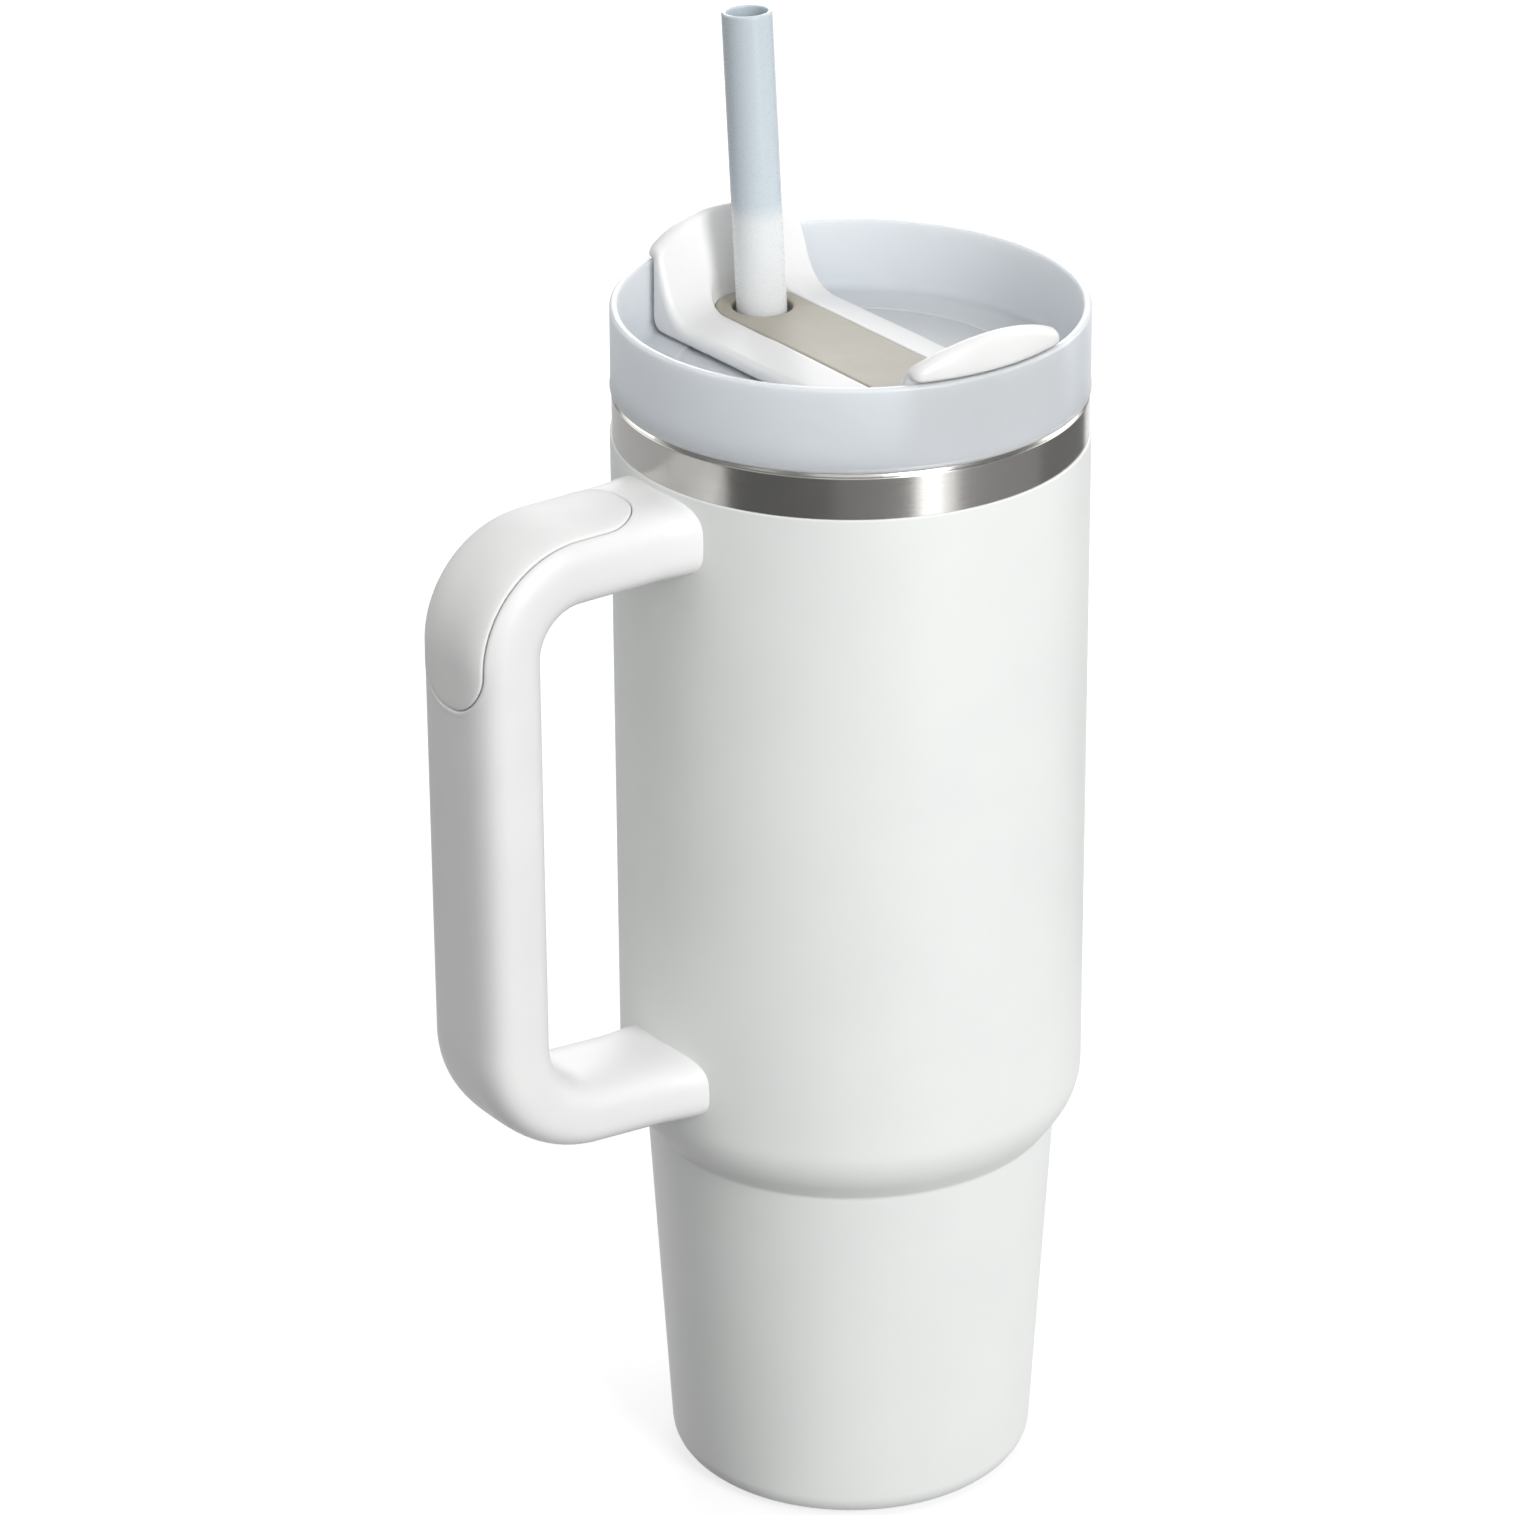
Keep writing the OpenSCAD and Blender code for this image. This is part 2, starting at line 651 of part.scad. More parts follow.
outer_shell();
inner_liner();
shell_bottom();
port_seal();
getter();
getter_clip();
base_cover();
upper_handle_bracket();
lower_handle_bracket();
handle_body();
handle_grip();
upper_handle_screw();
lower_handle_screw();
lower_screw_plug();
lid_body();
lid_gasket();
pivot_o_ring();
rotating_cover();
cover_insert();
cover_seal();
pivot_pin();
pivot_retainer();
straw();
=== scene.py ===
"""Visual model of the insulated tumbler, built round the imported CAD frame.

Shapes are worked out in millimetres in the row frame and turned into metres when a mesh is made:
origin at the centre of the base, +Z up, the handle towards +X, the straw end of the lid towards -Y.
"""
import itertools
import math

import bmesh
import bpy
import numpy as np
from mathutils import Matrix, Vector


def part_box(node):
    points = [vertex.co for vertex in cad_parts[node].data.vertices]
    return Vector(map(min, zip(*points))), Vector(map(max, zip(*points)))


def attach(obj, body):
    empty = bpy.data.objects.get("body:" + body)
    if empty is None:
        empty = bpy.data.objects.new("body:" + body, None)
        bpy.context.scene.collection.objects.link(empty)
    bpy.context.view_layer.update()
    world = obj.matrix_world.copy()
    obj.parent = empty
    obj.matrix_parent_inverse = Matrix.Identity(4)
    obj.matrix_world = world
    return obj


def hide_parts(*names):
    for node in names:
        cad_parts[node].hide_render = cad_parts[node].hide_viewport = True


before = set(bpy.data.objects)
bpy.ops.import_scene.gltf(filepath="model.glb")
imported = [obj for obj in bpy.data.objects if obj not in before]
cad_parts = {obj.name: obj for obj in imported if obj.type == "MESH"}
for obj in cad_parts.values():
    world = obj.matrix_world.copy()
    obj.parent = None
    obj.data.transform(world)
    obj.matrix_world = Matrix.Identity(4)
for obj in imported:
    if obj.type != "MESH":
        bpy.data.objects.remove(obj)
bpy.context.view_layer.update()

MM = 0.001
TURN_STEPS = 192


def box_mm(node):
    low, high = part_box(node)
    return low / MM, high / MM


# ---------------------------------------------------------------- sizes from the frame

SHELL = box_mm("outer_shell")
LINER = box_mm("inner_liner")
LID = box_mm("lid_body")
COVER = box_mm("rotating_cover")
INSERT = box_mm("cover_insert")
HANDLE = box_mm("handle_body")

BODY_R = SHELL[1].y
LIP_Z = LINER[1].z
FOLD_Z = SHELL[1].z
BAND_R = BODY_R - 0.4
BAND_Z = LIP_Z - 9.7
SHEET = 0.8
STEP_Z, STEP_IN, STEP_LEAN = 93.7, 5.6, math.radians(37)
SHOULDER_R, NECK_FILLET = 15.0, 2.0
STEP_RUN = (STEP_IN - (SHOULDER_R + NECK_FILLET) * (1 - math.cos(STEP_LEAN))) / math.sin(STEP_LEAN)
NECK_R = BODY_R - STEP_IN
NECK_Z = STEP_Z - (SHOULDER_R + NECK_FILLET) * math.sin(STEP_LEAN) - STEP_RUN * math.cos(STEP_LEAN)
BASE_R = 38.9
FOOT_RING_R = 29
FOOT_FILLET = 5.5

RIM_Z = LID[1].z
LID_R = LID[1].y - 0.25
LID_UNDER = LIP_Z + 0.2
DECK_Z = 249.8
DECK_UNDER = DECK_Z - 2.4
WELL_R = LID_R - 1.8
SKIRT_R = 44.0
SKIRT_IN = SKIRT_R - 2.8
SKIRT_END = LID[0].z
GROOVE_Z = (LIP_Z - 5.3, LIP_Z - 2.7)
GROOVE_R = SKIRT_R - 1.1

BAR_HALF = COVER[1].x
BAR_UNDER = COVER[0].z
EAR_TOP = COVER[1].z
LAP_R = COVER[1].y
LAP_Z = RIM_Z + 0.3
COVER_R = WELL_R - 0.35
INSERT_Z = INSERT[1].z
POCKET_Z = INSERT[0].z
INSERT_HALF = INSERT[1].x
INSERT_FRONT = 37.2
STRAW_Y = 31.0
STRAW_LEAN = math.radians(4.15)
STRAW_LOW, STRAW_TOP = 15.0, 317.0
STRAW_R, STRAW_WALL = 5.25, 1.0
HOLE_Y, HOLE_R = 0.3 - STRAW_Y, 6.3

HANDLE_REACH = HANDLE[1].x
HANDLE_HALF_W = HANDLE[1].y


# ---------------------------------------------------------------- mesh helpers

def make(name, verts, faces, body, nodes=(), slot=None, sharp=38):
    """Object from points in millimetres: welded, normals outwards, smooth with its sharp edges marked."""
    mesh = bpy.data.meshes.new(name)
    mesh.from_pydata([tuple(c * MM for c in v) for v in verts], [], faces)
    bm = bmesh.new()
    bm.from_mesh(mesh)
    bmesh.ops.remove_doubles(bm, verts=bm.verts, dist=1e-7)
    bmesh.ops.dissolve_degenerate(bm, edges=bm.edges, dist=1e-8)
    bmesh.ops.recalc_face_normals(bm, faces=bm.faces)
    limit = math.radians(sharp)
    for face in bm.faces:
        face.smooth = True
    for edge in bm.edges:
        if len(edge.link_faces) == 2 and edge.calc_face_angle() > limit:
            edge.smooth = False
    bm.to_mesh(mesh)
    bm.free()
    obj = bpy.data.objects.new(name, mesh)
    bpy.context.scene.collection.objects.link(obj)
    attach(obj, body)
    if nodes:
        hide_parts(*nodes)
    return obj


def rounded(corners, steps=7, guard=0.4):
    """Outline through (r, z, radius) corners, each rounded; guard points keep the flats' shading even."""
    out = []
    for i, (r, z, radius) in enumerate(corners):
        here = Vector((r, z))
        if not radius:
            out.append(here)
            continue
        back = Vector(corners[i - 1][:2]) - here
        ahead = Vector(corners[(i + 1) % len(corners)][:2]) - here
        half = back.angle(ahead) / 2
        cut = min(radius / math.tan(half), 0.48 * back.length, 0.48 * ahead.length)
        radius = cut * math.tan(half)
        u, v = back.normalized(), ahead.normalized()
        centre = here + (u + v).normalized() * (radius / math.sin(half))
        start, end = here + u * cut - centre, here + v * cut - centre
        a = math.atan2(start.y, start.x)
        sweep = (math.atan2(end.y, end.x) - a + math.pi) % (2 * math.pi) - math.pi
        if back.length - cut > 2.5 * guard:
            out.append(here + u * (cut + guard))
        for k in range(steps + 1):
            t = a + sweep * k / steps
            out.append(centre + radius * Vector((math.cos(t), math.sin(t))))
        if ahead.length - cut > 2.5 * guard:
            out.append(here + v * (cut + guard))
    return out


def lathe(outline, steps=TURN_STEPS):
    """Points and faces of a closed outline of (r, z) turned round the Z axis."""
    verts, rings, faces = [], [], []
    for r, z in outline:
        first = len(verts)
        if r < 1e-6:
            verts.append((0, 0, z))
            rings.append([first] * steps)
        else:
            rings.append([first + k for k in range(steps)])
            for k in range(steps):
                a = 2 * math.pi * k / steps
                verts.append((r * math.cos(a), r * math.sin(a), z))
    for i, ring in enumerate(rings):
        other = rings[(i + 1) % len(rings)]
        for k in range(steps):
            quad = [ring[k], ring[(k + 1) % steps], other[(k + 1) % steps], other[k]]
            quad = [q for n, q in enumerate(quad) if q not in quad[:n]]
            if len(quad) > 2:
                faces.append(quad)
    return verts, faces


def soft_max(a, b, k):
    """Larger of two fields, with the corner between them rounded over a width k."""
    h = np.maximum(k - np.abs(a - b), 0) / k
    return np.maximum(a, b) + h * h * k / 4


def soft_min(a, b, k):
    return -soft_max(-a, -b, k)


def surface_net(field, low, high, step):
    """Points and faces on the zero level of a distance field, drawn onto the true surface."""
    axes = [np.arange(a, b + step, step) for a, b in zip(low, high)]
    d = field(*np.meshgrid(*axes, indexing="ij"))
    cells = [n - 1 for n in d.shape]

    def corner(offset):
        return d[tuple(slice(o, o + n) for o, n in zip(offset, cells))]

    corners = np.stack([corner(o) < 0 for o in itertools.product((0, 1), repeat=3)])
    active = corners.any(0) & ~corners.all(0)
    total = np.zeros(list(active.shape) + [3])
    count = np.zeros(active.shape)
    for axis in range(3):
        for others in itertools.product((0, 1), repeat=2):
            start = list(others)
            start.insert(axis, 0)
            end = list(start)
            end[axis] = 1
            d0, d1 = corner(start), corner(end)
            cross = (d0 < 0) != (d1 < 0)
            t = np.where(cross, d0 / np.where(cross, d0 - d1, 1), 0)
            point = np.array(start, float) + t[..., None] * np.eye(3)[axis]
            total += np.where(cross[..., None], point, 0)
            count += cross
    index = np.full(active.shape, -1)
    index[active] = np.arange(active.sum())
    where = np.argwhere(active)
    points = (where + total[active] / count[active][:, None]) * step + np.array(low)
    faces = []
    for axis in range(3):
        b, c = [n for n in range(3) if n != axis]
        inner = [slice(1, -1)] * 3
        inner[axis] = slice(0, -1)
        ahead = list(inner)
        ahead[axis] = slice(1, None)
        cross = (d[tuple(inner)] < 0) != (d[tuple(ahead)] < 0)
        at = np.argwhere(cross)
        at[:, b] += 1
        at[:, c] += 1
        ring = []
        for db, dc in ((-1, -1), (0, -1), (0, 0), (-1, 0)):
            cell = at.copy()
            cell[:, b] += db
            cell[:, c] += dc
            ring.append(index[tuple(cell.T)])
        faces += np.stack(ring, 1).tolist()
    tiny, least_slope, passes = 0.02, 0.2, 3
    for _ in range(passes):
        value = field(*points.T)
        slope = np.stack([(field(*(points + tiny * e).T) - field(*(points - tiny * e).T)) / (2 * tiny)
                          for e in np.eye(3)], 1)
        move = value[:, None] * slope / np.maximum((slope ** 2).sum(1), least_slope)[:, None]
        points -= np.clip(move, -step / 2, step / 2)
    return points.tolist(), faces


# ---------------------------------------------------------------- materials

NOISE_LOW, NOISE_HIGH = 0.3, 0.7     # the range that most of a noise texture falls in


def nodes_of(name):
    """New material, with its tree, its shader and the object's coordinates."""
    made = bpy.data.materials.new(name)
    made.use_nodes = True
    tree = made.node_tree
    tree.nodes.clear()
    out = tree.nodes.new("ShaderNodeOutputMaterial")
    shader = tree.nodes.new("ShaderNodeBsdfPrincipled")
    coord = tree.nodes.new("ShaderNodeTexCoord")
    tree.links.new(shader.outputs[0], out.inputs[0])
    return made, tree, shader, coord.outputs["Object"]


def noise(tree, vector, scale, detail=3, stretch=None):
    """Noise with scale features to the metre, drawn out where a stretch is below 1."""
    if stretch:
        mapping = tree.nodes.new("ShaderNodeMapping")
        mapping.inputs["Scale"].default_value = stretch
        tree.links.new(vector, mapping.inputs["Vector"])
        vector = mapping.outputs["Vector"]
    made = tree.nodes.new("ShaderNodeTexNoise")
    made.inputs["Scale"].default_value = scale
    made.inputs["Detail"].default_value = detail
    tree.links.new(vector, made.inputs["Vector"])
    return made.outputs["Fac"]


def spread(tree, value, low, high):
    """Maps a noise value to the range low to high."""
    made = tree.nodes.new("ShaderNodeMapRange")
    made.inputs["From Min"].default_value = NOISE_LOW
    made.inputs["From Max"].default_value = NOISE_HIGH
    made.inputs["To Min"].default_value = low
    made.inputs["To Max"].default_value = high
    tree.links.new(value, made.inputs["Value"])
    return made.outputs["Result"]


def finish(name, dark, light, mottle, rough, grain, depth, stretch=None, **sockets):
    """Finish with a slight colour mottle, uneven gloss and a fine grain.

    The colour runs from dark to light, and the roughness over the two values of rough. The mottle and
    the grain are features to the metre, and depth is the grain's in mm. Sockets are the shader's own.
    """
    made, tree, shader, coord = nodes_of(name)
    broad = noise(tree, coord, mottle, stretch=stretch)
    ramp = tree.nodes.new("ShaderNodeValToRGB")
    for element, place, colour in zip(ramp.color_ramp.elements, (NOISE_LOW, NOISE_HIGH), (dark, light)):
        element.position = place
        element.color = (*colour, 1)
    tree.links.new(broad, ramp.inputs["Fac"])
    tree.links.new(ramp.outputs["Color"], shader.inputs["Base Color"])
    fine = noise(tree, coord, grain, detail=4, stretch=stretch)
    tree.links.new(spread(tree, fine, rough[0], rough[1]), shader.inputs["Roughness"])
    bump = tree.nodes.new("ShaderNodeBump")
    bump.inputs["Strength"].default_value = 1
    bump.inputs["Distance"].default_value = depth * MM
    tree.links.new(fine, bump.inputs["Height"])
    tree.links.new(bump.outputs["Normal"], shader.inputs["Normal"])
    for key, value in sockets.items():
        shader.inputs[key.replace("_", " ")].default_value = value
    return made


def paint(material, *objects):
    for obj in objects:
        obj.data.materials.clear()
        obj.data.materials.append(material)


def fade_below(made, low, high, colour):
    """Turns a finish to another colour below the height high, fully at low."""
    tree = made.node_tree
    target = tree.nodes["Principled BSDF"].inputs["Base Color"]
    coord = tree.nodes.new("ShaderNodeTexCoord")
    split = tree.nodes.new("ShaderNodeSeparateXYZ")
    reach = tree.nodes.new("ShaderNodeMapRange")
    mix = tree.nodes.new("ShaderNodeMix")
    mix.data_type = "RGBA"
    reach.inputs["From Min"].default_value = low * MM
    reach.inputs["From Max"].default_value = high * MM
    tree.links.new(coord.outputs["Object"], split.inputs["Vector"])
    tree.links.new(split.outputs["Z"], reach.inputs["Value"])
    tree.links.new(reach.outputs["Result"], mix.inputs["Factor"])
    mix.inputs[6].default_value = (*colour, 1)
    tree.links.new(target.links[0].from_socket, mix.inputs[7])
    tree.links.new(mix.outputs[2], target)


RING = (0.02, 0.02, 1.0)     # draws noise out round the axis, as brush marks
coat = finish("powder_coat", (0.82, 0.842, 0.824), (0.85, 0.868, 0.852), 40, (0.40, 0.52), 2600, 0.010)
brushed = finish("brushed_steel", (0.56, 0.55, 0.53), (0.60, 0.59, 0.57), 5200, (0.16, 0.24), 9000, 0.0012,
                 stretch=RING, Metallic=1.0)
bare_steel = finish("bare_steel", (0.52, 0.52, 0.51), (0.64, 0.64, 0.63), 300, (0.28, 0.42), 4200, 0.004,
                    Metallic=1.0)
handle_white = finish("handle_plastic", (0.795, 0.80, 0.795), (0.83, 0.83, 0.825), 60, (0.36, 0.46), 3200,
                      0.008)
grip_white = finish("grip_rubber", (0.80, 0.805, 0.795), (0.84, 0.84, 0.83), 90, (0.52, 0.64), 4200, 0.012)
cover_white = finish("cover_plastic", (0.765, 0.765, 0.76), (0.79, 0.79, 0.785), 60, (0.28, 0.38), 3600,
                     0.004, Subsurface_Weight=0.3, Subsurface_Scale=0.003, Subsurface_Radius=(1, 1, 1))
frosted = finish("lid_plastic", (0.60, 0.632, 0.665), (0.63, 0.66, 0.69), 25, (0.30, 0.40), 3000, 0.003,
                 Subsurface_Weight=0.9, Subsurface_Scale=0.006, Subsurface_Radius=(1, 1, 1))
taupe = finish("insert_plastic", (0.378, 0.353, 0.299), (0.415, 0.387, 0.331), 120, (0.42, 0.54), 3800, 0.010)
milky = finish("straw_plastic", (0.545, 0.615, 0.66), (0.56, 0.628, 0.67), 12, (0.26, 0.30), 3000, 0.002)
# painted light: the straw's lower part, in front of the white ear, is painted paler than the part above it,
# in place of the white ear's light that shows through the real translucent straw
fade_below(milky, 273.5, 277.5, (0.74, 0.755, 0.76))
silicone = finish("seal_silicone", (0.66, 0.67, 0.67), (0.72, 0.73, 0.73), 200, (0.45, 0.6), 3000, 0.01)
glassy = finish("port_glass", (0.04, 0.05, 0.05), (0.08, 0.09, 0.09), 500, (0.1, 0.2), 3000, 0.004)
sintered = finish("getter_metal", (0.16, 0.16, 0.165), (0.26, 0.26, 0.27), 1500, (0.6, 0.8), 5200, 0.02,
                  Metallic=0.7)


# ---------------------------------------------------------------- vessel

def step_curve(inset=0.0):
    """Neck fillet, leaning step and shoulder that bring the body in to the cup-holder base."""
    angles = [STEP_LEAN * k / 16 for k in range(17)]
    neck, shoulder = NECK_FILLET + inset, SHOULDER_R - inset
    return ([(NECK_R + NECK_FILLET - neck * math.cos(a), NECK_Z + neck * math.sin(a), 0) for a in angles]
            + [(BODY_R - SHOULDER_R + shoulder * math.cos(a), STEP_Z - shoulder * math.sin(a), 0)
               for a in reversed(angles)])


def build_shell():
    outside = ([(FOOT_RING_R, 0, 0.3), (BASE_R, 0, FOOT_FILLET), (NECK_R - 0.02, NECK_Z - 0.5, 0)]
               + step_curve() + [(BODY_R, STEP_Z + 1, 0), (BODY_R, BAND_Z, 0.25)])
    inside = ([(BODY_R - SHEET, BAND_Z, 0)] + step_curve(SHEET)[::-1]
              + [(BASE_R - SHEET, SHEET, FOOT_FILLET - SHEET), (FOOT_RING_R, SHEET, 0)])
    body = make("coated_body", *lathe(rounded(outside + inside)), "vessel", ["outer_shell"], "powder_coat")
    ring = [(BAND_R - SHEET, BAND_Z - 0.02, 0), (BAND_R, BAND_Z - 0.02, 0), (BAND_R, FOLD_Z, 0.25),
            (BAND_R - SHEET, FOLD_Z, 0)]
    band = make("steel_band", *lathe(rounded(ring)), "vessel", ["outer_shell"], "liner_steel")
    paint(coat, body)
    paint(brushed, band)


build_shell()


# ---------------------------------------------------------------- handle

LEG_Z = 227.8
UPPER_BEND, LOWER_BEND = 16.7, 19.7
LOWER_BEND_Z = 125.0
HALF_THICK, SLIMMER = 8.3, 1.1              # the section, and how much slimmer it is in the lower leg
ROOT_FLARE, FLARE_RUN = 1.3, 9              # the section widens towards the body
MEET_RUN, MEET_SINK = 10.0, 0.3             # the ends follow the body's curve, just inside it
BAR_X = HANDLE_REACH - 8.43
BEND_1 = (BAR_X - UPPER_BEND, LEG_Z - UPPER_BEND)
BEND_2 = (BAR_X - LOWER_BEND, LOWER_BEND_Z)
LEG_START, LEG_END_RUN = 47.0, 24.0
LOWER_SWEEP = math.radians(86)
STATIONS = np.cumsum([0, BEND_1[0] - LEG_START, UPPER_BEND * math.pi / 2, BEND_1[1] - BEND_2[1],
                      LOWER_BEND * LOWER_SWEEP, LEG_END_RUN])
POWER = 3.3                                 # of the superellipse that the section is
GRIP_FROM, GRIP_HALF, GRIP_ROUND = 10.0, 10.3, 10.0
GRIP_END_Z = 201.3
GRIP_TO = STATIONS[2] + BEND_1[1] - GRIP_END_Z
GRIP_MID = (GRIP_FROM + GRIP_TO) / 2
GRIP_CORE = (GRIP_TO - GRIP_FROM) / 2 - GRIP_ROUND
GRIP_DEPTH = 1.0
# depth of the pocket's side and lip at distances outside the grip's outline
POCKET_AT = [0.08, 0.18, 0.28, 0.42, 0.8, 1.6]
POCKET_LIFT = [-GRIP_DEPTH, -0.45, -0.12, 0.03, 0.09, 0]
# the grip's rounded edge: distance in from its outline, and height over the handle's face
PAD_INSET = [0.0, 0.0, 0.04, 0.12, 0.25, 0.45, 0.8, 1.5, 2.8, 4.4, 6.2, 8.2, GRIP_ROUND]
PAD_LIFT = [-0.9, -0.5, -0.3, -0.15, -0.04, 0.03, 0.06, 0.08, 0.1, 0.11, 0.12, 0.12, 0.12]
PAD_BACK = [GRIP_ROUND, 6.2, 2.8]           # rings of its flat back, from the middle outwards
FACE_HALF, FACE_STEP, BACK_POINTS = 12.2, 0.16, 60
END_STEP = 0.14                             # spacing of sections where the pocket's round ends run


def ease(t):
    t = min(max(t, 0), 1)
    return t * t * (3 - 2 * t)


def handle_axis(s):
    """Centre (x, z) of the handle at path length s, and the angle of its outer side."""
    a, b, c, d, _ = STATIONS[1:]
    if s <= a:
        return (LEG_START + s, LEG_Z), math.pi / 2
    if s <= b:
        angle = math.pi / 2 - (s - a) / UPPER_BEND
        return (BEND_1[0] + UPPER_BEND * math.cos(angle), BEND_1[1] + UPPER_BEND * math.sin(angle)), angle
    if s <= c:
        return (BAR_X, BEND_1[1] - (s - b)), 0.0
    angle = -min((s - c) / LOWER_BEND, LOWER_SWEEP)
    x = BEND_2[0] + LOWER_BEND * math.cos(angle)
    z = BEND_2[1] + LOWER_BEND * math.sin(angle)
    run = max(s - d, 0)
    return (x + run * math.sin(angle), z - run * math.cos(angle)), angle


def handle_half(s):
    """Half thickness and half width of the section at s: slimmer below, flared where it meets the body."""
    slim = ease((s - STATIONS[3]) / (STATIONS[4] - STATIONS[3]))
    root = 1 - ease(min(s, STATIONS[5] - s) / FLARE_RUN)
    return HALF_THICK - SLIMMER * slim, HANDLE_HALF_W + ROOT_FLARE * root


def on_handle(s, across, out, lift):
    """World point at path length s for a section point (out, across), raised by lift along its normal."""
    thick, wide = handle_half(s)
    nx = math.copysign(abs(out / thick) ** (POWER - 1) / thick, out)
    ny = math.copysign(abs(across / wide) ** (POWER - 1) / wide, across)
    size = math.hypot(nx, ny) or 1
    out, across = out + lift * nx / size, across + lift * ny / size
    (x, z), angle = handle_axis(s)
    x, z = x + out * math.cos(angle), z + out * math.sin(angle)
    wall = math.sqrt(max((BODY_R - MEET_SINK) ** 2 - across ** 2, 0))
    near = min(s, STATIONS[5] - s)
    if near < MEET_RUN:
        x0 = handle_axis(0 if s < MEET_RUN else STATIONS[5])[0][0]
        x += (wall - x0) * (1 - near / MEET_RUN)
    return x, across, z


def outer_face(s, across):
    """Height of the section's outer side over its middle, at a place across it."""
    thick, wide = handle_half(s)
    return thick * max(1 - abs(across / wide) ** POWER, 0) ** (1 / POWER)


def pill(s, across):
    """Signed distance to the grip's outline on the outer face."""
    ds = max(abs(s - GRIP_MID) - GRIP_CORE, 0)
    dy = max(abs(across) - (GRIP_HALF - GRIP_ROUND), 0)
    return math.hypot(ds, dy) - GRIP_ROUND


def recess(d):
    """Depth of the pocket and its rounded edge at distance d outside the grip's outline."""
    return float(np.interp(d, POCKET_AT, POCKET_LIFT))


def build_handle():
    rows = set(np.linspace(0, STATIONS[1], 16)) | set(np.linspace(STATIONS[1], STATIONS[2], 31))
    rows |= set(np.linspace(STATIONS[2], STATIONS[3], 40)) | set(np.linspace(STATIONS[3], STATIONS[4], 31))
    rows |= set(np.linspace(STATIONS[4], STATIONS[5], 16))
    for end, side in ((GRIP_FROM, 1), (GRIP_TO, -1)):
        rows |= {end + side * t for t in np.arange(-1.8, GRIP_ROUND + 0.2, END_STEP)}
    rows = sorted(rows)
    rows = [s for i, s in enumerate(rows) if i == 0 or s - rows[i - 1] > 0.03]
    # the section's points, closely spaced where the pocket's sides run
    fine = list(np.arange(-FACE_HALF, FACE_HALF, FACE_STEP))
    verts = []
    for s in rows:
        thick, wide = handle_half(s)
        for y in fine:
            across = y * wide / HANDLE_HALF_W
            out = outer_face(s, across)
            verts.append(on_handle(s, across, out, recess(pill(s, across))))
        edge = fine[-1] / HANDLE_HALF_W
        top = math.asin(edge ** (POWER / 2))
        for k in range(1, BACK_POINTS):
            a = top + (2 * math.pi - 2 * top) * k / BACK_POINTS
            c, n = math.cos(a), math.sin(a)
            out = math.copysign(abs(c) ** (2 / POWER), c) * thick
            across = math.copysign(abs(n) ** (2 / POWER), n) * wide
            verts.append(on_handle(s, across, out, 0))
    ring = len(verts) // len(rows)
    faces = []
    for i in range(len(rows) - 1):
        for k in range(ring):
            m = (k + 1) % ring
            faces.append([i * ring + k, i * ring + m, (i + 1) * ring + m, (i + 1) * ring + k])
    faces.append(list(range(ring)))
    faces.append([(len(rows) - 1) * ring + k for k in range(ring)])
    body = make("handle_loop", verts, faces, "vessel", ["handle_body"], "handle_plastic", sharp=50)
    paint(handle_white, body)


def build_grip():
    """Pad let into the pocket: rings drawn in from its outline, with a rounded edge and a flat back."""
    half = GRIP_HALF - GRIP_ROUND
    steps, turns = 44, 20
    # the outline's spine, as (path length, across, direction outwards): along one side, then round its end
    spine = []
    for side in (1, -1):
        for k in range(steps + 1):
            spine.append((GRIP_MID + side * (2 * GRIP_CORE * k / steps - GRIP_CORE), side * half,
                          side * math.pi / 2))
        for k in range(1, 2 * turns):
            spine.append((GRIP_MID + side * GRIP_CORE, side * (half if k < turns else -half),
                          side * math.pi / 2 - math.pi * k / (2 * turns)))
    levels = list(zip(PAD_INSET, PAD_LIFT)) + [(d, PAD_LIFT[0]) for d in PAD_BACK]
    verts = []
    for d, up in levels:
        for s, across, a in spine:
            at_s = s + (GRIP_ROUND - d) * math.cos(a)
            at_y = across + (GRIP_ROUND - d) * math.sin(a)
            verts.append(on_handle(at_s, at_y, outer_face(at_s, at_y), up))
    n = len(spine)
    faces = []
    # the front's last ring and the back's first meet in the middle, so their caps take the place of sides
    top, back = len(PAD_INSET) - 1, len(PAD_INSET)
    for a in [level for level in range(len(levels)) if level != top]:
        b = (a + 1) % len(levels)
        for k in range(n):
            m = (k + 1) % n
            faces.append([a * n + k, a * n + m, b * n + m, b * n + k])
    first_low = steps + 2 * turns
    for level in (top, back):
        for k in range(steps):
            faces.append([level * n + k, level * n + k + 1,
                          level * n + first_low + steps - k - 1, level * n + first_low + steps - k])
    pad = make("grip_pad", verts, faces, "vessel", ["handle_grip"], "grip_rubber", sharp=60)
    paint(grip_white, pad)


build_handle()
build_grip()


# ---------------------------------------------------------------- lid

HUB_END_R, HUB_R, HUB_DEPTH = 7, 7.6, 4      # boss under the deck, round the pivot
DISC_R, DISC_DROP = 36.2, 0.3               # the deck's middle is a shade lower
LIP_R = LID_R + 0.25                        # small bead round the foot of the rim
SLOT_REACH, SLOT_HALF, SLOT_MARGIN = math.radians(20), 7.0, 3.0
SLOT_R = STRAW_Y - (INSERT_Z - DECK_Z + 1.2) * math.tan(STRAW_LEAN)


